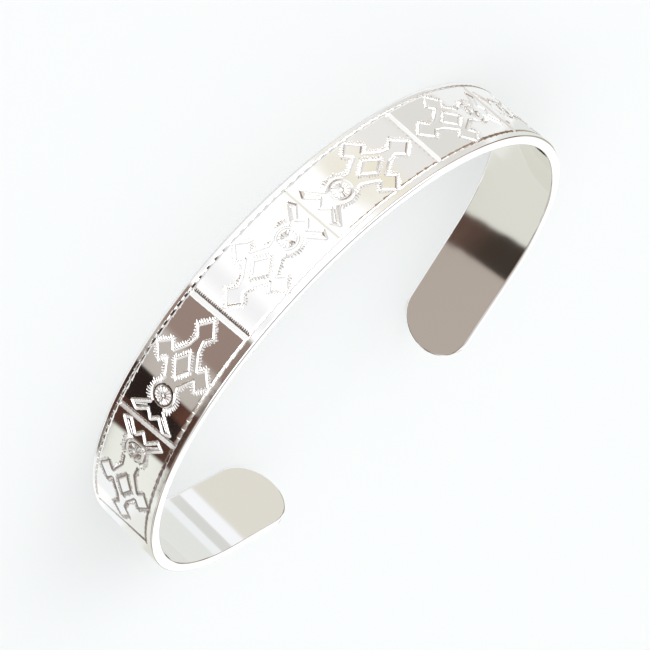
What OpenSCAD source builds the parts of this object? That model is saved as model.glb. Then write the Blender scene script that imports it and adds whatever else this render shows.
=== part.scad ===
// Open cuff bracelet: one strip of silver, bent to a C, with rounded ends
// and a front engraved with six crosses in framed panels.
// It lies on its lower edge. The wrist axis is Z, the engraved front faces -Y
// and the opening faces +Y.

/* [Strip] */
// Length of the flat strip before it is bent
strip_length = 160; // [150:1:170]
// Width of the strip, which is the height of the cuff as it lies
strip_width = 9.3; // [8.8:0.1:11]
// Thickness of the metal
strip_thickness = 1.2; // [1:0.05:1.6]
// Radius that softens the strip's long corners
corner_radius = 0.25; // [0.15:0.05:0.35]

/* [Bend] */
// Outer radius of the half circle at the front
front_radius = 31; // [29:0.5:34]
// Outer radius of the tighter bend on each side
shoulder_radius = 22.4; // [18:0.2:25]
// Turn of each side bend, in degrees
shoulder_turn = 48.5; // [40:0.5:56]
// How far the middle of the strip lies to the +X side of the front's middle
strip_shift = 2.1; // [0:0.1:4]

/* [Engraving] */
// Depth of the engraved lines
cut_depth = 0.18; // [0.1:0.02:0.25]
// Distance of the border lines' middle from the strip's edges
border_inset = 0.85; // [0.75:0.05:1]
// Width of the border lines
border_width = 0.4; // [0.3:0.05:0.5]
// Width of the cuts that part the panels
divider_width = 0.7; // [0.4:0.05:0.9]
// Width of the lines of the cross
outline_width = 0.42; // [0.3:0.02:0.46]
// Width of the smooth lines of its crown
crown_width = 0.34; // [0.24:0.02:0.4]

/* [Hidden] */
$fn = 96;

// Lengths of the six panels, as they were laid out by hand, from the +X end to the -X end
panel_lengths = [17.3, 14.2, 12.8, 13.7, 13.6, 13.6];
// Place of the first divider on the +X side, along the strip from its middle
first_divider = 44.6;
// Length of the panel that the cross below is drawn for, from the divider at its tail
drawn_panel = 13.6;

// One side of the cross, from the tip of its tail to its neck: distance from the divider, distance from the middle line
cross_side = [
    [0.75, 0], [2.2, 1.2], [3.05, 0.5], [4.1, 0.75], [5.55, 1.7], [4.75, 2.35],
    [6.05, 3.7], [7.3, 2.6], [6.55, 1.85], [8.2, 0.95], [8.9, 1.1]
];
// One side of the crown, from its middle point over the valley and the horn to the ring
crown_side = [[12.75, 0], [12, 0.75], [13, 1.95], [12.6, 2.7], [11.25, 0.9]];
// The open lozenge in the heart of the cross
lozenge = [[4.65, 0], [6.1, 1], [7.55, 0], [6.1, -1]];

// The ring round the rosette, open towards the neck and towards the crown
ring_place = 10;
ring_radius = 1.55;
ring_width = 0.55;
neck_opening = 45;
crown_opening = 32;
rosette_radius = 1;
rosette_width = 0.6;
dot_radius = 0.2;

// The tongues are drawn out a hair thinner and narrower than the bends, and start this far inside them
tongue_relief = 0.02;
tongue_root = 0.1;

front_mid = front_radius - strip_thickness / 2;
shoulder_mid = shoulder_radius - strip_thickness / 2;
half_bend = front_mid * PI / 2 + shoulder_mid * shoulder_turn * PI / 180;
half_strip = strip_length / 2;
tongue_width = strip_width - 2 * tongue_relief;
tongue_thickness = strip_thickness - 2 * tongue_relief;
tip_radius = tongue_width / 2;
cutter_reach = 1;

// Straight lengths of the two tongues with their tips, on the +X side and on the -X side
tongues = [half_strip - strip_shift - half_bend, half_strip + strip_shift - half_bend];

// Reach of the longer tongue behind the front's centre, which puts the origin in the middle of the depth
end_reach = shoulder_mid * sin(shoulder_turn) + max(tongues) * cos(shoulder_turn);
corner_reach = end_reach + corner_radius * (1 - cos(shoulder_turn))
    + (tongue_thickness / 2 - corner_radius) * sin(shoulder_turn);
centre_y = (front_radius - corner_reach) / 2;

function sum_of_first(list, count) = count <= 0 ? 0 : list[count - 1] + sum_of_first(list, count - 1);
// Place of a divider along the strip, and the turn round the front's centre that leads to a place
function divider_place(i) = first_divider - sum_of_first(panel_lengths, i);
function turn_to(place) = (place - strip_shift) / front_mid * 180 / PI;

// A path drawn for one side, continued on the other side of the middle line
function both_sides(path) = concat(
    [for (i = [len(path) - 1 : -1 : 0]) path[i]],
    [for (i = [1 : len(path) - 1]) [path[i][0], -path[i][1]]]
);
// A path fitted to a panel's length, with its tail at the panel's end that way points away from
function fitted(path, length, way) = [for (p = path) [way * (p[0] / drawn_panel - 0.5) * length, p[1]]];

// The outline of a line of some width that follows an open or closed path, with mitred corners
function unit(v) = v / norm(v);
function square_to(v) = [-v[1], v[0]];
function mitre(before, here, after) =
    let (a = square_to(unit(here - before)), b = square_to(unit(after - here)))
    (a + b) / (1 + a * b);
function open_mitres(path) = let (last = len(path) - 1) [for (i = [0 : last])
    i == 0 ? square_to(unit(path[1] - path[0]))
    : i == last ? square_to(unit(path[last] - path[last - 1]))
    : mitre(path[i - 1], path[i], path[i + 1])];
function closed_mitres(path) = let (count = len(path)) [for (i = [0 : count - 1])
    mitre(path[(i + count - 1) % count], path[i], path[(i + 1) % count])];
function shifted(path, mitres, by) = [for (i = [0 : len(path) - 1]) path[i] + mitres[i] * by];
function backwards(path) = [for (i = [len(path) - 1 : -1 : 0]) path[i]];

module open_line(path, width) {
    mitres = open_mitres(path);
    polygon(concat(shifted(path, mitres, width / 2), backwards(shifted(path, mitres, -width / 2))));
}

module closed_line(path, width) {
    mitres = closed_mitres(path);
    difference() {
        polygon(shifted(path, mitres, width / 2));
        polygon(shifted(path, mitres, -width / 2));
    }
}

module ring(radius, width) {
    difference() {
        circle(radius);
        circle(radius - width);
    }
}

// The wedge with its point at the origin that opens towards the side that way points to
module wedge(half_angle, way) {
    far = 2 * ring_radius;
    polygon([[0, 0], [way * far, far * tan(half_angle)], [way * far, -far * tan(half_angle)]]);
}

// One cross, flat, centred on its panel
module cross(length, way) {
    open_line(fitted(both_sides(cross_side), length, way), outline_width);
    open_line(fitted(both_sides(crown_side), length, way), crown_width);
    closed_line(fitted(lozenge, length, way), outline_width);
    translate([way * (ring_place / drawn_panel - 0.5) * length, 0]) {
        difference() {
            ring(ring_radius + ring_width / 2, ring_width);
            wedge(neck_opening, -way);
            wedge(crown_opening, way);
        }
        ring(rosette_radius, rosette_width);
        circle(dot_radius);
    }
}

// Puts a flat shape on the outside of the front at a place along the strip, as a punch through the skin
module punch(place) {
    rotate([0, 0, turn_to(place)])
        translate([0, cutter_reach - front_radius, strip_width / 2])
            rotate([90, 0, 0])
                linear_extrude(2 * cutter_reach)
                    children();
}

module panel(i) {
    way = i % 2 == 0 ? -1 : 1;
    place = (divider_place(i) + divider_place(i + 1)) / 2;
    punch(place)
        cross(panel_lengths[i], way);
}

module divider(i) {
    punch(divider_place(i))
        square([divider_width, strip_width - 2 * border_inset], center = true);
}

module border(z) {
    count = len(panel_lengths);
    first = turn_to(divider_place(count));
    span = turn_to(divider_place(0)) - first;
    rotate([0, 0, first - 90])
        rotate_extrude(angle = span)
            translate([front_radius - cutter_reach, z - border_width / 2])
                square([2 * cutter_reach, border_width]);
}

// Everything that is engraved, as deep as it is cut
module engraving() {
    intersection() {
        difference() {
            cylinder(r = front_radius + cutter_reach, h = strip_width);
            translate([0, 0, -cutter_reach])
                cylinder(r = front_radius - cut_depth, h = strip_width + 2 * cutter_reach);
        }
        union() {
            for (i = [0 : len(panel_lengths) - 1])
                panel(i);
            for (i = [0 : len(panel_lengths)])
                divider(i);
            border(border_inset);
            border(strip_width - border_inset);
        }
    }
}

// A rectangle with softened corners and its lower left corner at the origin
module soft_rectangle(size) {
    translate([corner_radius, 0])
        square([size[0] - 2 * corner_radius, size[1]]);
    translate([0, corner_radius])
        square([size[0], size[1] - 2 * corner_radius]);
    for (x = [corner_radius, size[0] - corner_radius])
        for (y = [corner_radius, size[1] - corner_radius])
            translate([x, y])
                circle(r = corner_radius, $fn = 32);
}

// Section of the strip in a bend: X is the distance from the bend's axis, Y runs across the strip
module bend_section(inner) {
    translate([inner, 0])
        soft_rectangle([strip_thickness, strip_width]);
}

// Half of the tongue's width section, from its middle to its rim, to turn into the round tip
module tip_section() {
    intersection() {
        translate([-tip_radius, 0])
            soft_rectangle([2 * tip_radius, tongue_thickness]);
        square([tip_radius, tongue_thickness]);
    }
}

module tip() {
    translate([0, 0, tip_radius])
        rotate([0, 90, 0])
            rotate_extrude(angle = 180)
                tip_section();
}

module front() {
    rotate([0, 0, 180])
        rotate_extrude(angle = 180)
            bend_section(front_radius - strip_thickness);
}

// The bend after the front on the +X side, and its tongue
module side(tongue) {
    inner = shoulder_radius - strip_thickness;
    straight = tongue - tip_radius;
    translate([front_radius - shoulder_radius, 0, 0]) {
        rotate_extrude(angle = shoulder_turn)
            bend_section(inner);
        rotate([0, 0, shoulder_turn])
            translate([inner + tongue_relief, straight, tongue_relief]) {
                rotate([90, 0, 0])
                    linear_extrude(straight + tongue_root)
                        soft_rectangle([tongue_thickness, tongue_width]);
                tip();
            }
    }
}

module cuff_band() {
    color("silver")
        translate([0, centre_y, 0])
            difference() {
                union() {
                    front();
                    side(tongues[0]);
                    mirror([1, 0, 0])
                        side(tongues[1]);
                }
                engraving();
            }
}

cuff_band();
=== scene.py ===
# %% [markdown]
# # An engraved silver cuff
#
# The real thing is one strip of silver, bent by hand to an open C. Its ends are round and plain, and its
# front is engraved with a row of crosses of the Tuareg kind, each in its own frame. The cuff lies on its
# side, so the wrist's axis points up and the engraved front looks along minus Y.
#
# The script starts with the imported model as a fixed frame. That model has the true sizes, and this script
# gives the strip its polish and the marks of the graver.

# %% The frame
import math

import bpy
import numpy as np
from mathutils import Matrix, Vector


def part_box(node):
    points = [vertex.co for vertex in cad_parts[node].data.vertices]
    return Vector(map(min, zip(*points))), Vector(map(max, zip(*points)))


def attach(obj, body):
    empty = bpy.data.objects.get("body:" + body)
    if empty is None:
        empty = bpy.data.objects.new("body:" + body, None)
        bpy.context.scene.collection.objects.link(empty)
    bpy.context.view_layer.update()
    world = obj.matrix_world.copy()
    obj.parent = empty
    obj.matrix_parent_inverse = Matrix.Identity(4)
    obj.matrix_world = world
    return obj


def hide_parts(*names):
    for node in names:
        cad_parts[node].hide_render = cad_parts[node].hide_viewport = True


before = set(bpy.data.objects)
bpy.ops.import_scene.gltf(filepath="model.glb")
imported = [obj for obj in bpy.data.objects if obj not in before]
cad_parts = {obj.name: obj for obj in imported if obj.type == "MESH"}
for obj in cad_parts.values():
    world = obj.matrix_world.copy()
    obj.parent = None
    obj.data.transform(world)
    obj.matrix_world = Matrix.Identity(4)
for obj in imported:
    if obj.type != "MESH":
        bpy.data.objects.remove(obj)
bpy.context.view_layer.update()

cuff_low, cuff_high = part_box("cuff_band")
MM = 0.001
print("the cuff measures", [round(side / MM, 2) for side in cuff_high - cuff_low], "mm")

# %% [markdown]
# ## The strip before its pattern
#
# A bent strip is easiest to describe the way a silversmith meets it: flat, with a distance along it, a
# distance across it and a height over its middle. One function then bends those three numbers to their
# place on the cuff. A Curve modifier could bend a flat mesh too, but then the engraving could not be
# worked out in the same numbers again after the bend, and that is needed later for clean highlights.
#
# All lengths here are millimetres. They become metres only when the mesh is made.

# %% The strip's sizes
strip_width = (cuff_high.z - cuff_low.z) / MM
front_radius = (cuff_high.x - cuff_low.x) / 2 / MM
centre_y = cuff_low.y / MM + front_radius
strip_length = 160
strip_thickness = 1.2
corner_radius = 0.25
shoulder_radius = 22.4
shoulder_turn = math.radians(48.5)
# How far the strip's middle lies to the -X side of the front's middle, which places are counted from
strip_shift = 2.1

front_mid = front_radius - strip_thickness / 2
shoulder_mid = shoulder_radius - strip_thickness / 2
shoulder_x = front_radius - shoulder_radius
front_run = front_mid * math.pi / 2
shoulder_run = shoulder_mid * shoulder_turn
print("front bend", round(2 * front_run, 2), "mm, each side bend", round(shoulder_run, 2), "mm")


# %% The bend
def bend_path(place):
    """The strip's middle line at a distance along it from the middle of the front.

    The distance is spent first on the front circle, then on the side bend, then on the straight tongue.
    The turn is the sum of both arcs, each its length over its radius. The outer face looks along
    (sin turn, -cos turn), and a point is the arc's centre plus the radius times that direction, plus the
    straight rest at a right angle to it. The -X half mirrors the +X half."""
    side = np.where(place < 0, -1.0, 1.0)
    run = np.abs(place)
    on_shoulder = np.clip(run - front_run, 0, shoulder_run)
    straight = np.maximum(run - front_run - shoulder_run, 0)
    turn = np.minimum(run, front_run) / front_mid + on_shoulder / shoulder_mid
    past_front = run > front_run
    radius = np.where(past_front, shoulder_mid, front_mid)
    out_x, out_y = np.sin(turn), -np.cos(turn)
    x = np.where(past_front, shoulder_x, 0) + radius * out_x - straight * out_y
    y = centre_y + radius * out_y + straight * out_x
    return side * x, y, side * out_x, out_y


def bent(place, across, height):
    """Points of the bent strip: the middle line plus height times the outward direction, across as Z."""
    x, y, out_x, out_y = bend_path(place)
    return np.stack([x + height * out_x, y + height * out_y, across + strip_width / 2], axis=-1)


def unbent(points):
    """The other way round: place, across and height of points on the cuff.

    Seen from the centre of the arc that a point belongs to, its place is the angle times the arc's middle
    radius and its height is the distance less that radius. Past the arcs both are plain projections."""
    side = np.where(points[:, 0] < 0, -1.0, 1.0)
    x, y = np.abs(points[:, 0]), points[:, 1] - centre_y
    front_turn = np.arctan2(x, -y)
    shoulder_here = np.arctan2(y, x - shoulder_x)
    along_x, along_y = -math.sin(shoulder_turn), math.cos(shoulder_turn)
    straight = (x - shoulder_x) * along_x + y * along_y
    lift = (x - shoulder_x) * along_y - y * along_x
    on_front = y <= 0
    on_tongue = shoulder_here > shoulder_turn
    run = np.where(on_front, front_turn * front_mid, front_run + shoulder_here * shoulder_mid)
    run = np.where(~on_front & on_tongue, front_run + shoulder_run + straight, run)
    height = np.where(on_front, np.hypot(x, y) - front_mid, np.hypot(x - shoulder_x, y) - shoulder_mid)
    height = np.where(~on_front & on_tongue, lift - shoulder_mid, height)
    return side * run, points[:, 2] - strip_width / 2, height


trial = np.array([[-70.0, 1, 0.6], [-20, -3, 0.5], [3, 2, -0.6], [60, 0, 0.2]])
error = np.abs(np.stack(unbent(bent(*trial.T)), axis=-1) - trial).max()
print("bending and unbending again misses by", f"{error:.1e}", "mm")

# %% [markdown]
# ## The graver's marks
#
# A graver is a small chisel that is pushed through the metal. Pushed steadily it leaves a smooth V. Rocked
# from side to side as it moves, it leaves a line with a comb of short ticks, and the outlines of these
# crosses are cut that way. The marks could be a bump pattern, but light falls into the real cuts and
# breaks at their edges, so here they are true relief.
#
# Each cut is a depth at every point of the strip, worked out from two distances: how far along the stroke
# the point lies, and how far aside of it. Where cuts meet, the deepest one counts.

# %% Hand work is never even
hand = np.random.default_rng(7)
wobbles = hand.uniform(-1, 1, 512)
wobble_stride = 7
print("the hand wavers in", len(wobbles), "ways")


def wobble(number, salt):
    """A value from -1 to 1 for each counted thing, the same at every run. The salt picks another set."""
    return wobbles[(number.astype(int) * wobble_stride + salt) % len(wobbles)]


# %% A smooth cut and a rocked cut
# A stroke's line: half its width, its depth, how far outside the inset path it lies, and that inset
line_half, line_depth, line_aside, stroke_inset = 0.155, 0.11, 0.12, 0.2
# Its ticks: from one to the next, half their width, their length, depth and slant
tick_pitch, tick_half, tick_reach, tick_depth, tick_slant = 0.28, 0.115, 0.54, 0.12, 0.25
# Where a tick starts, over what length it gets deep, its width there as a share, how much of that share it
# loses towards its end, and how slowly it gets shallow on the way
tick_start, tick_rise, tick_swell, tick_taper, tick_fade = 0.14, 0.06, 1.05, 0.45, 0.4
# How much the places and the lengths of ticks vary
place_waver, reach_waver = 0.1, 0.2
print("rocked strokes have a tick every", tick_pitch, "mm and are", tick_depth, "mm deep")


def vee(distance, half_width):
    """A V from 0 at its edges to 1 at its middle."""
    return np.clip(1 - np.abs(distance) / half_width, 0, 1)


def comb(along, aside, salt, reach=tick_reach):
    """A thin line and its ticks. Ticks are counted along the stroke, lean a little, start behind the line
    and get shallow and narrow towards their ends on the outer side."""
    count = np.floor((along - tick_slant * aside) / tick_pitch)
    middle = (count + 0.5 + place_waver * wobble(count, salt)) * tick_pitch
    spent = np.clip(aside / (reach * (1 + reach_waver * wobble(count, salt + 31))), 0, 1)
    tick = vee(along - tick_slant * aside - middle, tick_half * (tick_swell - tick_taper * spent))
    tick = tick * (1 - spent) ** tick_fade * np.clip((aside - tick_start) / tick_rise, 0, 1)
    return np.maximum(line_depth * vee(aside - line_aside, line_half), tick_depth * tick)


def stroke_distances(place, across, start, end):
    """Distance along the stroke, distance to its left side, and distance past its ends."""
    run = np.array(end, float) - start
    length = np.hypot(*run)
    unit = run / length
    along = (place - start[0]) * unit[0] + (across - start[1]) * unit[1]
    aside = (across - start[1]) * unit[0] - (place - start[0]) * unit[1]
    past = np.maximum(np.maximum(-along, along - length), 0)
    return along, aside, past


def rocked_cut(place, across, path, outer, salt):
    """Straight rocked strokes between the points of a path. outer is 1 if the ticks lie to its left."""
    depth = np.zeros_like(place)
    for number, (start, end) in enumerate(zip(path[:-1], path[1:])):
        along, aside, past = stroke_distances(place, across, start, end)
        cut = comb(along, outer * aside + stroke_inset, salt + 5 * number)
        cut = cut * (1 - past / line_half).clip(0, 1)
        depth = np.maximum(depth, cut)
    return depth


def smooth_cut(place, across, path, half_width, full_depth):
    """Straight smooth strokes between the points of a path, with round ends."""
    depth = np.zeros_like(place)
    for start, end in zip(path[:-1], path[1:]):
        _, aside, past = stroke_distances(place, across, start, end)
        depth = np.maximum(depth, full_depth * vee(np.hypot(aside, past), half_width))
    return depth


# %% [markdown]
# ## One cross
#
# Every cross is drawn once, for a panel of 13.6 mm, as distances from the divider at its tail and from the
# middle line. It has a tail, two arms, an open lozenge in its heart, a ring round a rosette, and a crown of
# two horns. Panels lie head to head and tail to tail, so every second one is turned round. Six separate
# drawings would also do, but one that is stretched to each panel keeps the row alike, as the pattern asks.

# %% The drawn cross
drawn_panel = 13.6
cross_side = [
    [0.75, 0], [2.2, 1.2], [3.05, 0.5], [4.1, 0.75], [5.55, 1.7], [4.75, 2.35],
    [6.05, 3.7], [7.3, 2.6], [6.55, 1.85], [8.2, 0.95],
]
# The neck ends this far before the ring's centre and this far from the middle line
neck_gap, neck_across = 1.3, 1.05
crown_side = [[12.75, 0], [12, 0.75], [13.05, 1.95], [12.65, 2.7], [11.25, 0.95]]
lozenge = [[4.6, 0], [6.1, 1.05], [7.6, 0], [6.1, -1.05], [4.6, 0]]
horn_line = [[11.8, 1.05], [12.6, 2.15]]
crown_half, crown_depth = 0.21, 0.14
horn_half, horn_depth = 0.07, 0.05
print("one side of the outline has", len(cross_side), "corners, the crown", 2 * len(crown_side) - 1)

# %% The ring and the rosette
# Where the ring's centre lies on each drawn panel
ring_places = [10.5, 9.8, 10, 10, 10, 10]
# Radius of the ring's line, the reach of its ticks, and how many ticks a whole turn would have
ring_line, ring_reach, ring_ticks = 1.28, 0.68, 39
neck_half_angle, crown_half_angle = math.radians(40), math.radians(30)
rosette_radius, rosette_depth, rosette_petals = 0.96, 0.1, 15
# Where a petal starts, over what lengths it gets deep and ends, and how much its place varies
petal_start, petal_rise, petal_fall, petal_waver = 0.2, 0.55, 0.12, 0.15
dot_radius, dot_depth, dot_slope = 0.17, 0.12, 0.08
# The shallow groove round each rosette, and how hard it was pressed on each panel
groove_radius, groove_half, groove_depth = 1.1, 0.15, 0.03
groove_pressed = [0.35, 1, 0.35, 0.35, 0.35, 0.35]
print("each rosette has", rosette_petals, "petals, each ring room for", ring_ticks, "ticks")

# %% The row of panels
# Lengths of the panels from the +X end on, and the distance of the first divider from the strip's middle
panel_lengths = [17.3, 14.2, 12.8, 13.7, 13.6, 13.6]
first_divider = 44.6
dividers = first_divider - np.concatenate([[0], np.cumsum(panel_lengths)])
dividers = dividers - strip_shift
print("dividers at", np.round(dividers, 1), "mm from the middle of the front")


# %% Cutting one cross
def both_sides(path):
    """A path for one side of the middle line, continued on the other side."""
    path = np.array(path, float)
    return np.concatenate([path[::-1], path[1:] * [1, -1]])


def ring_and_rosette(place, across, centre, neck_side, pressed):
    """The rocked ring, open towards the neck and the crown, and a rosette of wedge cuts round a dot.

    Both count their marks by the angle round the centre: ticks start on a circle and run outwards, and
    petals are deepest at the rosette's rim. A shallow round groove lies between them."""
    x, y = (place - centre) * neck_side, across
    radius, angle = np.hypot(x, y), np.arctan2(y, x)
    closed = (np.abs(angle) > neck_half_angle) & (np.abs(angle) < math.pi - crown_half_angle)
    step = 2 * math.pi / ring_ticks
    ring = comb((angle + math.pi) / step * tick_pitch, radius - ring_line, 11, ring_reach) * closed
    turn = (angle + math.pi) / (2 * math.pi) * rosette_petals
    count = np.floor(turn)
    petal = vee(turn - count - 0.5 - petal_waver * wobble(count, 77), 0.5)
    rise = np.clip((radius - petal_start) / petal_rise, 0, 1)
    rise = rise * np.clip((rosette_radius - radius) / petal_fall, 0, 1)
    rosette = rosette_depth * rise * petal
    dot = dot_depth * np.clip((dot_radius - radius) / dot_slope, 0, 1)
    groove = groove_depth * pressed * vee(radius - groove_radius, groove_half)
    return np.maximum(np.maximum(ring, rosette), np.maximum(dot, groove))


def cross_cut(place, across, tail, head, number):
    """Depth of one cross between the divider at its tail and the one at its head.

    A drawn point's place is the tail's place plus the drawn distance times the panel's stretch, towards
    the head. The cuts of all its paths are laid over one another, and the deepest one counts."""
    way = np.sign(head - tail)
    stretch = abs(head - tail) / drawn_panel

    def fitted(path):
        return np.array(path, float) * [way * stretch, 1] + [tail, 0]

    ring_place, salt = ring_places[number], 13 * number
    neck = [ring_place - neck_gap, neck_across]
    depth = rocked_cut(place, across, fitted(both_sides(cross_side + [neck])), -way, salt)
    depth = np.maximum(depth, rocked_cut(place, across, fitted(lozenge), way, salt + 60))
    crown = smooth_cut(place, across, fitted(both_sides(crown_side)), crown_half, crown_depth)
    for side in (-1, 1):
        horn = fitted(np.array(horn_line) * [1, side])
        crown = np.maximum(crown, smooth_cut(place, across, horn, horn_half, horn_depth))
    centre = tail + way * stretch * ring_place
    ring = ring_and_rosette(place, across, centre, -way, groove_pressed[number])
    return np.maximum(np.maximum(depth, crown), ring)


# %% [markdown]
# ## Frames and borders
#
# A deep cut across the strip parts the panels. It is a V, and by hand no two of them get quite the same
# walls: fine ticks hatch one, another has slightly scalloped edges, and one is nearly worn away. Along both
# edges runs a border of short pushes of the graver, end to end. Each push starts narrow and ends wide,
# which gives the border a sawtooth edge. A groove of one width would be simpler, but it would look milled.

# %% Dividers
# How far the dividers reach from the middle line, and over what length they end
divider_reach, divider_end = 3.85, 0.15
# How much each divider leans, as the shift of its place for each millimetre across
divider_lean = [-0.2, -0.09, -0.05, -0.02, 0.02, 0, 0]
# The walls of each divider on the side of growing place and on the other side, and its depth
divider_walls = [(0.4, 0.4, 0.22), (0.37, 0.37, 0.215), (0.56, 0.3, 0.16), (0.25, 0.2, 0.05),
                 (0.4, 0.36, 0.24), (0.36, 0.36, 0.2), (0.3, 0.3, 0.18)]
hatched_divider, hatch, hatch_pitch = 2, 0.3, 0.24
scalloped_divider, scallop, scallop_pitch = 4, 0.09, 0.6
print(len(divider_walls), "dividers, the deepest", max(depth for _, _, depth in divider_walls), "mm deep")


def divider_cut(place, across, number):
    """Depth falls from one wall's edge to the floor and rises again over the other wall. One divider has
    slightly scalloped edges, and on another one fine ticks hatch the second wall."""
    first, second, depth = divider_walls[number]
    from_floor = place - dividers[number] - divider_lean[number] * across
    if number == scalloped_divider:
        first = first * (1 + scallop * np.sin(across * 2 * math.pi / scallop_pitch))
    if number == hatched_divider:
        second = second * (1 + hatch * np.abs(np.sin(across * math.pi / hatch_pitch)))
    one = 1 - from_floor / first
    other = 1 + from_floor / second
    depth = depth * np.clip(np.minimum(one, other), 0, 1)
    return depth * np.clip((divider_reach - np.abs(across)) / divider_end, 0, 1)


# %% Borders
# Distances of the two borders from the middle line, on the side of low Z and on the other side
far_border, near_border = 3.95, 3.72
# One push: its length, its depth, the width of its inner wall where it starts and ends, its outer wall
push_pitch, push_depth, push_narrow, push_wide, push_outer = 1.12, 0.1, 0.2, 0.38, 0.13
# How much pushes differ in length, over what distance, and how much their inner walls differ
push_waver, push_waver_run, wall_waver = 0.15, 5, 0.2
# How far a push drifts outwards, its share of depth at its start and what it gains to its end, and the
# share of that at its very first bite and what the bite gains
push_drift, push_first, push_gain, push_bite, push_set = 0.07, 0.7, 0.3, 0.6, 0.4
# Over what share of its length the push bites, and how hollow its walls are
push_rise, push_hollow = 0.12, 1.6
# Places along the strip, and how bold the pushes are there
bold_places, boldness = [8, 11, 24, 26], [1, 1.5, 1.5, 1]
print("a border takes about", round((dividers[0] - dividers[-1]) / push_pitch), "pushes")


def push_share(place):
    """How far along its push of the graver a place lies, from 0 to 1, and which push it is."""
    pushes = place / push_pitch + push_waver * np.sin(place / push_waver_run)
    count = np.floor(pushes)
    return pushes - count, count


def border_cut(place, across, side):
    """A lopsided V along the edge. Its outer wall is steep, and its inner wall gets wider along each push
    and drops back at the next. The floor drifts outwards along a push and gets deeper."""
    share, count = push_share(place)
    inwards = (far_border if side < 0 else near_border) + push_drift * share - side * across
    inner = push_narrow + (push_wide - push_narrow) * share * (1 + wall_waver * wobble(count, 140))
    rise = np.where(inwards > 0, inwards / inner, -inwards / push_outer)
    depth = push_depth * np.interp(place, bold_places, boldness)
    depth = depth * (push_first + push_gain * share)
    depth = depth * (push_bite + push_set * np.clip(share / push_rise, 0, 1))
    return depth * np.clip(1 - rise, 0, 1) ** push_hollow


# %% All cuts together
# A divider is worked out this far to both sides, and a cross this far past its panel
near_divider, near_cross = 2, 0.5


def engraved_depth(place, across):
    """Depth of the engraving anywhere on the strip: the deepest of all the cuts near a point."""
    depth = np.zeros_like(place)
    inside = (place > dividers[-1]) & (place < dividers[0])
    for side in (-1, 1):
        depth = np.where(inside, np.maximum(depth, border_cut(place, across, side)), depth)
    for number in range(len(dividers)):
        near = np.abs(place - dividers[number]) < near_divider
        depth[near] = np.maximum(depth[near], divider_cut(place[near], across[near], number))
    for number in range(len(panel_lengths)):
        ends = dividers[number], dividers[number + 1]
        tail, head = ends if number % 2 == 0 else ends[::-1]
        near = (place > min(ends) - near_cross) & (place < max(ends) + near_cross)
        cut = cross_cut(place[near], across[near], tail, head, number)
        depth[near] = np.maximum(depth[near], cut)
    return depth


floor_depths = engraved_depth(dividers, np.zeros_like(dividers))
print("on the middle line the dividers are", np.round(floor_depths, 3), "mm deep")

# %% [markdown]
# ## Tarnish and painted shade
#
# The cuts are painted dark brown in a few places: the bottom of the far border, the near border, the
# strokes of the first panel and the groove round the second rosette. This is partly tarnish, which silver
# takes where no hand or cloth reaches, and partly painted shade that stands for the darkness deep in these
# cuts. A painted image could hold such marks, but the formulas that place the cuts can say where this dark
# paint lies too, and so it never misses them.

# %% Where the cuts are painted dark, with tarnish and painted shade
# Places along the strip, and how dark the far line, the near line and the strokes are there
far_places, far_dark = [-4, -2, 5, 7, 17, 20, 24, 31, 34], [0.3, 0, 0, 1, 1, 0.5, 0.8, 0.8, 0]
near_places, near_dark = [24.5, 26, 31, 41], [0, 0.9, 0.8, 0.3]
stroke_places, stroke_dark = [27.5, 31, 41, 41.4], [0.2, 0.6, 0.5, 0]
# The far line is broken into dashes: where along a push each one starts, how much that varies, how softly
dash_places, dash_starts, dash_waver, dash_soft = [9, 12], [0.6, 0.35], 0.2, 0.15
# Half the widths of the two lines, how firm the far line's edges are, and how far out the strokes reach
far_half, near_half, far_firm, stroke_span = 0.19, 0.4, 2.5, 3.6
# Where the second panel's rosette has its middle, and how firm the edges of its dark ring are
dark_ring_place, ring_firm = 21.25, 2
# The dark line of the far border is partly tarnish and partly painted shade
print("the far border is tarnished between", far_places[0], "and", far_places[-1], "mm")


def tarnish_and_shade_at(place, across):
    """How dark the cuts are painted, from 0 to 1, with tarnish and painted shade: the darkest of two lines,
    the strokes and a ring.

    Each is a V across its own line, or 1 all over the strokes, times its darkness at that place."""
    share, count = push_share(place)
    start = np.interp(place, dash_places, dash_starts)
    broken = np.clip((share - start - dash_waver * wobble(count, 60)) / dash_soft, 0, 1)
    line = np.clip(far_firm * vee(across + far_border + push_drift * share, far_half) - 0.5, 0, 1)
    far = line * broken * np.interp(place, far_places, far_dark)
    near = vee(across - near_border, near_half) * np.interp(place, near_places, near_dark)
    strokes = (np.abs(across) < stroke_span) * np.interp(place, stroke_places, stroke_dark)
    strokes = strokes * (place > stroke_places[0])
    from_ring = np.hypot(place - dark_ring_place, across) - groove_radius
    ring = np.clip(ring_firm * vee(from_ring, groove_half), 0, 1)
    return np.maximum(np.maximum(far, near), np.maximum(strokes, ring))


# %% [markdown]
# ## The skin of the strip
#
# The whole strip is one section carried from tip to tip. The section is a closed loop: rows over the
# outer face, a rounded corner, the edge, another corner, rows over the inner face, and back round the
# other edge. At each round tip the section narrows like a circle does, until both edges meet.
#
# The engraved stretch needs a grid of about a twentieth of a millimetre, which is far more than the plain
# parts need. A Decimate modifier then takes away the faces that make no difference. It may not touch a
# coarse lattice of points, or it would draw long thin faces over the bends.

# %% The section, a closed loop of points
grid_step = 0.045
corner_steps = 5
inner_rows = 14
half_flat = strip_width / 2 - corner_radius
half_thick = strip_thickness / 2
outer_rows = round(2 * half_flat / grid_step)

quarter = np.linspace(0, math.pi / 2, corner_steps + 1)[1:]
edge_spread = corner_radius * np.sin(quarter)
edge_height = half_thick - corner_radius + corner_radius * np.cos(quarter)
edge_spread = np.concatenate([edge_spread, edge_spread[::-1]])
edge_height = np.concatenate([edge_height, -edge_height[::-1]])
outer_share = np.linspace(-1, 1, outer_rows + 1)
inner_share = np.linspace(1, -1, inner_rows + 1)
edge_ones = np.ones_like(edge_spread)

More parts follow.
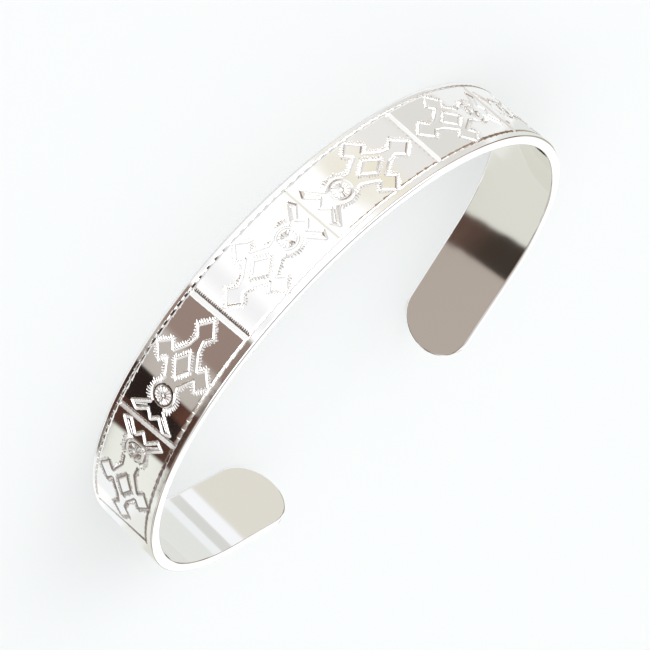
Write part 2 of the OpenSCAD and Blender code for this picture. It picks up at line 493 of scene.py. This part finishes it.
section_share = np.concatenate([outer_share, edge_ones, inner_share, -edge_ones])
section_spread = np.concatenate([0 * outer_share, edge_spread, 0 * inner_share, edge_spread[::-1]])
section_height = np.concatenate([half_thick + 0 * outer_share, edge_height,
                                 0 * inner_share - half_thick, edge_height[::-1]])
print("the section has", len(section_share), "points")

# %% The stations, from tip to tip
coarse_step = 0.8
tip_steps = 26
# The fine grid reaches this far past the outermost dividers
fine_margin = 1.6
tip_left = -(strip_length / 2 + strip_shift - strip_width / 2)
tip_right = strip_length / 2 - strip_shift - strip_width / 2

tip_turn = np.linspace(0, math.pi / 2, tip_steps + 1)
fine_from, fine_to = dividers[-1] - fine_margin, dividers[0] + fine_margin
stretches = [(tip_left, fine_from, coarse_step), (fine_from, fine_to, grid_step),
             (fine_to, tip_right, coarse_step)]
straight = [np.linspace(a, b, round((b - a) / step), endpoint=False) for a, b, step in stretches]
straight = np.concatenate(straight)[1:]

station_place = np.concatenate([
    tip_left - half_flat * np.sin(tip_turn[::-1]), straight, tip_right + half_flat * np.sin(tip_turn)])
station_half = half_flat * np.concatenate([np.cos(tip_turn[::-1]), 0 * straight + 1, np.cos(tip_turn)])
station_half[[0, -1]] = 0
push_along = np.concatenate([-np.sin(tip_turn[::-1]), 0 * straight, np.sin(tip_turn)])
push_across = station_half / half_flat
print(len(station_place), "stations")


# %% The closed skin
# The lattice that stays: distance of its stations, and how many rows it skips
lattice_step, lattice_rows = 0.9, 16
# Digits to which two points have to agree to be one
same_digits = 6


def strip_skin():
    """The section at every station, as points and triangles.

    A point's place is the station's, pushed out along the strip at a tip by the edge's spread. Its
    distance across is the station's half width times the section's share, plus the spread. Its height is
    the section's, less the engraving on the outer face. The points of a closed end fall together, so
    equal points are merged and triangles without an area are dropped. The last result lists the points
    off a coarse lattice, which may be thinned out."""
    place = station_place[:, None] + section_spread * push_along[:, None]
    across = station_half[:, None] * section_share
    across = across + section_spread * np.sign(section_share) * push_across[:, None]
    height = np.broadcast_to(section_height, place.shape).copy()
    face = np.s_[:, : outer_rows + 1]
    height[face] -= engraved_depth(place[face], across[face])
    points = bent(place, across, height).reshape(-1, 3)

    stations, around = place.shape
    lattice_station = np.diff(np.floor(station_place / lattice_step), prepend=-strip_length) != 0
    lattice_row = np.ones(around, bool)
    lattice_row[: outer_rows + 1] = np.arange(outer_rows + 1) % lattice_rows == 0
    lattice_station |= station_half < half_flat
    kept = (lattice_station[:, None] & lattice_row).ravel()
    here = np.arange(stations * around).reshape(stations, around)
    corners = here[:-1], here[1:], np.roll(here[1:], -1, axis=1), np.roll(here[:-1], -1, axis=1)
    a, b, c, d = (corner.ravel() for corner in corners)
    triangles = np.concatenate([np.stack([a, b, c], 1), np.stack([a, c, d], 1)])

    rounded = np.round(points, same_digits)
    _, first, same = np.unique(rounded, axis=0, return_index=True, return_inverse=True)
    triangles = same.ravel()[triangles]
    p, q, r = triangles.T
    return points[first], triangles[(p != q) & (q != r) & (r != p)], np.flatnonzero(~kept[first])


def signed_volume(points, triangles):
    """Sum of the volumes between each triangle and the origin, positive when the faces look outwards."""
    a, b, c = (points[triangles[:, k]] for k in range(3))
    return np.einsum("ij,ij->i", a, np.cross(b, c)).sum() / 6


skin_points, skin_triangles, thinnable = strip_skin()
if signed_volume(skin_points, skin_triangles) < 0:
    skin_triangles = skin_triangles[:, ::-1]
volume = signed_volume(skin_points, skin_triangles)
print(len(skin_triangles), "triangles hold", round(volume, 1), "cubic mm")


# %% From arrays to a Blender mesh
def mesh_from(name, points, triangles):
    """A mesh of triangles whose points are given in millimetres."""
    mesh = bpy.data.meshes.new(name)
    mesh.vertices.add(len(points))
    mesh.vertices.foreach_set("co", (points * MM).astype(np.float32).ravel())
    mesh.loops.add(triangles.size)
    mesh.loops.foreach_set("vertex_index", triangles.astype(np.int32).ravel())
    mesh.polygons.add(len(triangles))
    mesh.polygons.foreach_set("loop_start", np.arange(0, triangles.size, 3, dtype=np.int32))
    mesh.update(calc_edges=True)
    mesh.validate()
    return mesh


def read_mesh(mesh):
    """Points in millimetres and triangles of a mesh."""
    points = np.empty(len(mesh.vertices) * 3, np.float32)
    mesh.vertices.foreach_get("co", points)
    triangles = np.empty(len(mesh.loops), np.int32)
    mesh.loops.foreach_get("vertex_index", triangles)
    return points.reshape(-1, 3).astype(float) / MM, triangles.reshape(-1, 3)


# %% The cuff as an object, thinned out
most_triangles = 190_000
raw_mesh = mesh_from("raw_cuff", skin_points, skin_triangles)
cuff = bpy.data.objects.new("engraved_cuff", raw_mesh)
bpy.context.scene.collection.objects.link(cuff)
cuff.vertex_groups.new(name="thinnable").add(thinnable.tolist(), 1.0, "REPLACE")
thin = cuff.modifiers.new("thin_out", "DECIMATE")
thin.vertex_group = "thinnable"
thin.ratio = most_triangles / len(skin_triangles)
evaluated = cuff.evaluated_get(bpy.context.evaluated_depsgraph_get())
cuff.data = bpy.data.meshes.new_from_object(evaluated)
cuff.modifiers.clear()
cuff.vertex_groups.clear()
bpy.data.meshes.remove(raw_mesh)
cuff.data.name = "engraved_cuff"
print("after thinning out", len(cuff.data.polygons), "triangles")

# %% [markdown]
# ## Highlights without facets
#
# Polished silver shows every facet, because a mirror doubles each error of the surface's direction. The
# plain skin is known exactly, so its directions are worked out from the formula and given to the mesh as
# custom normals. The faces inside the cuts stay flat: a graver leaves flat facets too.


# %% Exact directions of the plain skin
# Half the run over which a bend's curvature fades, and how far the tongue bows inwards over its length
ease_half = 4
tongue_bow, bow_run = math.radians(2.5), 19
# Lengths are never taken to be less than this when something is divided by them
tiny = 1e-12
print("the straight ends bow inwards by", round(math.degrees(tongue_bow), 1), "degrees")


def eased_turn(place):
    """How much further the skin has turned than arcs and straight ends would have it.

    A bend made by hand doesn't stop at a line. Its curvature fades over a few millimetres, so near the
    bend's end the turn falls short by the squared distance from the end of the fade, and the tongue goes
    on to bend inwards a little. Both are too small to move the metal by more than a few tenths."""
    past = np.abs(place) - front_run - shoulder_run
    short = np.maximum(ease_half - np.abs(past), 0) ** 2 / (4 * ease_half * shoulder_mid)
    bow = tongue_bow * np.maximum(past + ease_half, 0) / bow_run
    return np.where(place < 0, -1, 1) * (bow - short)


def plain_normals(points):
    """Directions of the unengraved strip at points on it.

    The strip is a round-cornered slab: all its points lie one corner radius away from a smaller slab with
    sharp edges. The direction is from the nearest point of that smaller slab: past its flat outline and
    past its height, each counted only where the point lies outside. It is then turned with the bend."""
    place, across, height = unbent(points)
    past_tip = place - np.clip(place, tip_left, tip_right)
    from_middle = np.maximum(np.hypot(past_tip, across), tiny)
    outside = np.maximum(from_middle - half_flat, 0) / from_middle
    up = np.sign(height) * np.maximum(np.abs(height) - (half_thick - corner_radius), 0)
    x, y, out_x, out_y = bend_path(place)
    more = eased_turn(place)
    out_x, out_y = out_x * np.cos(more) - out_y * np.sin(more), out_y * np.cos(more) + out_x * np.sin(more)
    along = outside * past_tip
    normals = np.stack([up * out_x - along * out_y, up * out_y + along * out_x, outside * across], axis=-1)
    return normals / np.maximum(np.linalg.norm(normals, axis=1, keepdims=True), tiny)


# %% Plain skin gets exact directions, and cuts get flat ones
# Depths from which a face belongs to a cut, and at which the tarnish and painted shade are as dark as they
# get
cut_from, tarnish_and_shade_full = 0.004, 0.03
points, triangles = read_mesh(cuff.data)
place, across, height = unbent(points)
on_outer_face = height > half_thick - corner_radius
depth = np.where(on_outer_face, engraved_depth(place, across), 0)
depth = depth * (np.abs(across) < half_flat)

corner_points = points[triangles]
flat = np.cross(corner_points[:, 1] - corner_points[:, 0], corner_points[:, 2] - corner_points[:, 0])
flat = flat / np.maximum(np.linalg.norm(flat, axis=1, keepdims=True), tiny)
is_cut = (depth[triangles] > cut_from).any(axis=1)
# Tarnish and painted shade, laid only down in the cuts
tarnish_and_shade = tarnish_and_shade_at(place, across) * np.clip(depth / tarnish_and_shade_full, 0, 1)
normals = plain_normals(points)[triangles]
normals[is_cut] = flat[is_cut][:, None, :]
cuff.data.shade_smooth()
cuff.data.normals_split_custom_set(normals.reshape(-1, 3).tolist())
print(int(is_cut.sum()), "triangles lie in cuts, and", int((~is_cut).sum()), "on plain silver")


# %% What the material needs to know
def store(mesh, name, kind, values):
    """Keeps one value or vector for each vertex as an attribute of the mesh."""
    attribute = mesh.attributes.new(name, kind, "POINT")
    field = "vector" if kind == "FLOAT_VECTOR" else "value"
    attribute.data.foreach_set(field, np.asarray(values, np.float32).ravel())


store(cuff.data, "strip", "FLOAT_VECTOR", np.stack([place, across, height], axis=-1))
store(cuff.data, "cut", "FLOAT", np.clip(depth / tick_depth, 0, 1))
# The dark paint in the cuts is partly tarnish and partly painted shade
store(cuff.data, "tarnish_and_shade", "FLOAT", tarnish_and_shade)
print(int((tarnish_and_shade > 0.5).sum()), "of", len(tarnish_and_shade), "points are dark with tarnish")

# %% [markdown]
# ## Shader maths as plain expressions
#
# A material is a graph of nodes, and maths in it quickly becomes a web of little boxes. Each box could be
# added and linked by hand. The class below wraps one output of a node instead, so that an ordinary
# expression such as 1 - mask adds the Math nodes itself, and a formula can be read as a formula.


# %% The wrapper
class Value:
    """A number, colour or direction that varies from point to point: one output socket of a node.

    Without a socket it only stands for the tree that nodes are added to."""

    def __init__(self, tree, socket=None):
        self.tree = tree
        self.socket = socket

    def node(self, kind, settings=None, inputs=None, output=0):
        """Adds a node to the same tree, sets its settings first, then its inputs, and gives one output.

        An input is a plain number or colour, which is set, or another value, which is linked."""
        made = self.tree.nodes.new(kind)
        for name, setting in (settings or {}).items():
            setattr(made, name, setting)
        for name, value in (inputs or {}).items():
            if isinstance(value, Value):
                value.feed(made.inputs[name])
            else:
                made.inputs[name].default_value = value
        return Value(self.tree, made.outputs[output])

    def feed(self, socket):
        """Links this value to an input."""
        self.tree.links.new(self.socket, socket)

    def sibling(self, output):
        """Another output of the same node."""
        return Value(self.tree, self.socket.node.outputs[output])

    def math(self, operation, *others):
        """A Math node with this value as its first number."""
        return self.node("ShaderNodeMath", {"operation": operation}, dict(enumerate((self, *others))))

    def __add__(self, other):
        return self.math("ADD", other)

    def __sub__(self, other):
        return self.math("SUBTRACT", other)

    def __mul__(self, other):
        return self.math("MULTIPLY", other)

    def __rsub__(self, other):
        return self.node("ShaderNodeMath", {"operation": "SUBTRACT"}, {0: other, 1: self})

    __radd__ = __add__
    __rmul__ = __mul__

    def smooth(self, low, high):
        """0 below low, 1 above high and a smooth step between."""
        limits = {"Value": self, "From Min": low, "From Max": high}
        return self.node("ShaderNodeMapRange", {"interpolation_type": "SMOOTHSTEP"}, limits)

    def mix(self, first, second):
        """The first colour where this value is 0 and the second where it is 1.

        Inputs 0, 6 and 7 of a Mix node are its factor and two colours, and output 2 is the mixed one."""
        return self.node("ShaderNodeMix", {"data_type": "RGBA"}, {0: self, 6: first, 7: second}, output=2)


# %% [markdown]
# ## Silver
#
# Silver is the whitest of metals, with a trace of warmth. The skin is polished by hand, so it is nearly a
# mirror with faint ripples and hairline scratches that run along the strip. The cuts are slightly rougher,
# and in spots a trace duller. Where tarnish and painted shade are laid on they are nearly black. Scratches
# could come from an image, but noise that is stretched along the strip has no end and no seam. It is laid
# out in the strip's own three numbers, which the mesh keeps for every point, so it follows the bend.

# %% The silver material
silver_bright = (0.95, 0.94, 0.925, 1)
silver_worn = (0.94, 0.92, 0.90, 1)
# Nearly black brown for the cuts, which stands for tarnish and painted shade
silver_tarnish_and_shade = (0.09, 0.055, 0.04, 1)

# How fine hairlines are along, across and through the strip, how fine ripples and spots of wear are, each
# in waves per millimetre, and how many finer waves are laid over them
hairline_scale, ripple_scale, spot_scale = (0.5, 22, 22), 0.22, 1.4
hairline_detail, ripple_detail, spot_detail = 3.0, 1.0, 4.0
# Roughness of the plain skin, and what hairlines and cuts add to it
plain_rough, hairline_rough, cut_rough = 0.035, 0.03, 0.14
# Share of a tick's depth at which a cut starts to look like one, and at which it fully does
cut_starts, cut_full = 0.02, 0.4
# Heights of ripples and hairlines, in thousandths of a millimetre
ripple_height, hairline_height = 6.0, 0.06

silver = bpy.data.materials.new("polished_silver")
silver.use_nodes = True
paint = Value(silver.node_tree)
surface = silver.node_tree.nodes["Principled BSDF"]
surface.inputs["Metallic"].default_value = 1.0

strip_place = paint.node("ShaderNodeAttribute", {"attribute_name": "strip"}, output=1)
cut_share = paint.node("ShaderNodeAttribute", {"attribute_name": "cut"}, output=2)
# How far the cuts are darkened with tarnish and painted shade
tarnish_and_shade_share = paint.node("ShaderNodeAttribute", {"attribute_name": "tarnish_and_shade"}, output=2)


def noise(space, scale, detail):
    """Soft random waves from 0 to 1."""
    return paint.node("ShaderNodeTexNoise", {}, {"Vector": space, "Scale": scale, "Detail": detail})


stretched = paint.node("ShaderNodeMapping", {}, {"Vector": strip_place, "Scale": hairline_scale})
hairlines = noise(stretched, 1.0, hairline_detail)
ripples = noise(strip_place, ripple_scale, ripple_detail)

# %% Its colour, roughness and relief
in_cut = cut_share.smooth(cut_starts, cut_full)
worn = in_cut * noise(strip_place, spot_scale, spot_detail)
# The dark brown of tarnish and painted shade is mixed in over the silver
colour = tarnish_and_shade_share.mix(worn.mix(silver_bright, silver_worn), silver_tarnish_and_shade)
roughness = plain_rough + hairlines * hairline_rough + in_cut * cut_rough
colour.feed(surface.inputs["Base Color"])
roughness.feed(surface.inputs["Roughness"])

relief = ripples * ripple_height + hairlines * hairline_height
bump_inputs = {"Height": relief, "Strength": 1.0, "Distance": 0.001 * MM}
paint.node("ShaderNodeBump", {}, bump_inputs).feed(surface.inputs["Normal"])
cuff.data.materials.clear()
cuff.data.materials.append(silver)
print("silver is made of", len(silver.node_tree.nodes), "nodes")

# %% [markdown]
# ## The studio
#
# The floor is plain and pale and reaches far past the view. The light is soft and comes from all round,
# brighter from the front and dimmer from overhead. Lamps could give such light, but each would show as a
# patch in the metal. Polished metal has no look of its own: it shows the room. So the light comes from the
# room alone, and the room has darker and paler tones where the mirror of each part of the cuff looks.
#
# Two things are left out of what rays see. The floor isn't seen in the mirror image, or it would hide the
# room's lower half, and a pale tone of the room stands there in its place. The cuff isn't seen by light
# that bounces off the floor, which keeps its shadow as light as the photograph has it.

# %% Floor
floor_size, floor_tone, floor_rough = 3.0, (0.93, 0.94, 0.935, 1), 0.9
reach = floor_size / 2
floor_corners = [(-reach, -reach, 0), (reach, -reach, 0), (reach, reach, 0), (-reach, reach, 0)]
floor_mesh = bpy.data.meshes.new("pale_floor")
floor_mesh.from_pydata(floor_corners, [], [(0, 1, 2, 3)])
floor = bpy.data.objects.new("pale_floor", floor_mesh)
bpy.context.scene.collection.objects.link(floor)
floor_paint = bpy.data.materials.new("pale_floor")
floor_paint.use_nodes = True
floor_surface = floor_paint.node_tree.nodes["Principled BSDF"]
floor_surface.inputs["Base Color"].default_value = floor_tone
floor_surface.inputs["Roughness"].default_value = floor_rough
floor_mesh.materials.append(floor_paint)
floor.visible_glossy = False
cuff.visible_diffuse = False
print("the floor is", floor_size, "m wide")

# %% Room light
room_white = (1.12, 1.14, 1.15, 1)
# Azimuths, counted from +X towards +Y, are wrapped to run from the first of these to the second
azimuth_from, azimuth_to = -250.0, 110.0
# Elevations that the engraved face mirrors towards the camera, and those that the insides of the tongues do
low_band, high_band = (-33, -18.35), (-18.25, -12)
# A tone that leans moves along by this many degrees for each degree above leaning_from
leaning_from = -16.7
# Tones of the room, in degrees: azimuths, their softness, elevations, their softness, lean, colour. Each
# one covers those before it.
room_tones = [
    # All round: dimmer overhead, brighter towards the front, and pale below
    ((-400, 400), 1, (50, 99), 6, 0, (0.50, 0.51, 0.515)),
    ((-160, -20), 10, (5, 50), 5, 0, (2.25, 2.29, 2.31)),
    ((-400, 400), 1, (-99, -40), 5, 0, (0.78, 0.79, 0.795)),
    # For the walls of the cuts, which mirror other parts of the room than the skin does
    ((8, 85), 8, (-78, -36), 4, 0, (1.08, 1.08, 1.08)),
    ((-242, -207), 4, (-13, 15), 3, 0, (0.45, 0.41, 0.34)),
    ((-211, -178), 4, (-13, 15), 3, 0, (0.25, 0.17, 0.12)),
    ((-184, -112), 4, (-16, 9), 3, 0, (0.36, 0.25, 0.18)),
    ((-57, -20), 2, (-18.6, 13), 0.3, 0, (0.26, 0.17, 0.14)),
    ((-22, 14), 2, (-18.6, 28), 0.3, 0, (0.26, 0.17, 0.14)),
    ((10, 27), 2, (-18.6, 2), 0.3, 0, (0.26, 0.17, 0.14)),
    ((-25, 60), 4, (15, 35), 3, 0, (0.35, 0.31, 0.25)),
    ((28, 62), 3, (-13, 8), 2, 0, (0.40, 0.36, 0.30)),
    ((62, 112), 4, (-46, -2), 3, 0, (0.35, 0.32, 0.27)),
    # For the engraved face
    ((-250, -187), 3, low_band, 0.1, 0, (0.92, 0.94, 0.94)),
    ((-193, -156), 3, low_band, 0.1, 0, (0.77, 0.76, 0.735)),
    ((-163, -134), 4, low_band, 0.1, 0, (0.86, 0.85, 0.83)),
    ((-144, -126), 5, low_band, 0.1, 0, (0.93, 0.91, 0.85)),
    ((-146, -136), 3, (-20.6, -19.2), 0.4, 0, (0.87, 0.82, 0.68)),
    ((-134, -124), 4, (-21.6, -20), 0.5, 0, (0.89, 0.86, 0.76)),
    ((-128, -66), 8, (-33, -24.5), 1.5, 0, (0.74, 0.75, 0.755)),
    ((-71, -61), 5, low_band, 0.5, 0, (0.95, 0.95, 0.98)),
    ((-57, -30), 1.5, low_band, 0.1, 0, (0.32, 0.237, 0.203)),
    ((-37, -16), 2.5, low_band, 0.1, 0, (0.54, 0.50, 0.46)),
    ((-18.5, 1), 0.8, low_band, 0.1, 0, (0.02, 0.014, 0.012)),
    ((-18.5, -11), 1.5, (-19.9, -18), 0.5, 0, (0.13, 0.055, 0.038)),
    ((-2, 17), 1.2, low_band, 0.1, 0, (0.075, 0.035, 0.025)),
    ((6.3, 75), 1.5, low_band, 0.1, -1.6, (0.87, 0.89, 0.835)),
    ((205.5, 280), 2, (-22, -20.55), 0.05, 45.7, (0.10, 0.055, 0.045)),
    ((60, 104.5), 1, (-19.25, -18.35), 0.05, 45.7, (0.08, 0.045, 0.035)),
    ((36, 110), 6, (-33, -16.5), 0.5, 0, (0.93, 0.955, 0.97)),
    ((57, 110), 3, (-33, -19.35), 0.2, 0, (1.08, 1.08, 1.08)),
    # For the insides of the two tongues
    ((-60, 0), 1, high_band, 0.05, 0, (0.47, 0.41, 0.365)),
    ((-21.5, 0), 0.5, high_band, 0.05, 0.8, (0.048, 0.037, 0.030)),
    ((-21.5, 0), 0.5, (-18.25, -16.9), 0.4, 0.8, (0.115, 0.07, 0.055)),
    ((-6, 110), 2, high_band, 0.05, 4.65, (0.74, 0.745, 0.68)),
    ((45, 110), 3, (-18.6, -17.8), 0.1, 0, (0.85, 0.86, 0.82)),
    ((-250, -196), 1.5, high_band, 0.05, 0, (0.79, 0.81, 0.79)),
    ((-199, -188.5), 1.5, high_band, 0.05, 0, (0.90, 0.93, 0.95)),
    ((-191, -182), 1, high_band, 0.05, 0, (0.70, 0.705, 0.69)),
    ((-183.5, -176.5), 0.6, high_band, 0.05, 0, (0.97, 0.99, 1.03)),
    ((-177.8, -160), 0.6, high_band, 0.05, 0, (0.76, 0.74, 0.675)),
]


def between(value, ends, soft):
    """1 between the two ends and 0 outside them, with soft steps."""
    low, high = ends
    return value.smooth(low - soft, low + soft) * (1 - value.smooth(high - soft, high + soft))


# %% The room from its tones
room = bpy.data.worlds.new("soft_room")
room.use_nodes = True
bpy.context.scene.world = room
background = room.node_tree.nodes["Background"]
background.inputs["Strength"].default_value = 1.0

ray = Value(room.node_tree).node("ShaderNodeTexCoord")
ray_x = ray.node("ShaderNodeSeparateXYZ", {}, {"Vector": ray})
ray_y, ray_z = ray_x.sibling(1), ray_x.sibling(2)
to_degrees = 180 / math.pi
azimuth = (ray_y.math("ARCTAN2", ray_x) * to_degrees).math("WRAP", azimuth_to, azimuth_from)
elevation = ray_z.math("ARCSINE") * to_degrees

room_colour = room_white
for azimuths, azimuth_soft, elevations, elevation_soft, lean, tone in room_tones:
    leaning = azimuth - lean * (elevation - leaning_from) if lean else azimuth
    inside = between(leaning, azimuths, azimuth_soft) * between(elevation, elevations, elevation_soft)
    room_colour = inside.mix(room_colour, (*tone, 1))
room_colour.feed(background.inputs["Color"])
print("the room has", len(room_tones), "tones")

# %% [markdown]
# ## The camera
#
# The photograph looks at the cuff from the front and a little to one side, with a long lens and the
# camera turned on its axis. The lens was worked out from how the far end shrinks against the near one. A
# camera could be aimed by a constraint at a point, but such an aim keeps it level. Here three turns aim it:
# a heading round the upright axis, a tilt up from looking straight down, and a roll round its own axis.

# %% Camera
# Place in millimetres, turns in degrees, and lens and sensor in millimetres
camera_place = (37.165, -209.528, 74.501)
camera_heading, camera_tilt, camera_roll = 10.0089, 71.5842, 132.5777
camera_lens, camera_sensor = 114.286, 36


def turned(degrees, axis):
    """A turn round one axis."""
    return Matrix.Rotation(math.radians(degrees), 4, axis)


camera_data = bpy.data.cameras.new("camera")
camera_data.lens = camera_lens
camera_data.sensor_width = camera_sensor
camera = bpy.data.objects.new("camera", camera_data)
bpy.context.scene.collection.objects.link(camera)
aim = turned(camera_heading, "Z") @ turned(camera_tilt, "X") @ turned(camera_roll, "Z")
camera.matrix_world = Matrix.Translation(Vector(camera_place) * MM) @ aim
bpy.context.scene.camera = camera
bpy.context.scene.view_settings.view_transform = "Standard"
print("the camera looks along", np.round(camera.matrix_world.to_3x3() @ Vector((0, 0, -1)), 3))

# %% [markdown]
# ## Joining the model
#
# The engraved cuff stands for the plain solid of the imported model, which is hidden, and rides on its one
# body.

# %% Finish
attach(cuff, "root")
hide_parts("cuff_band")
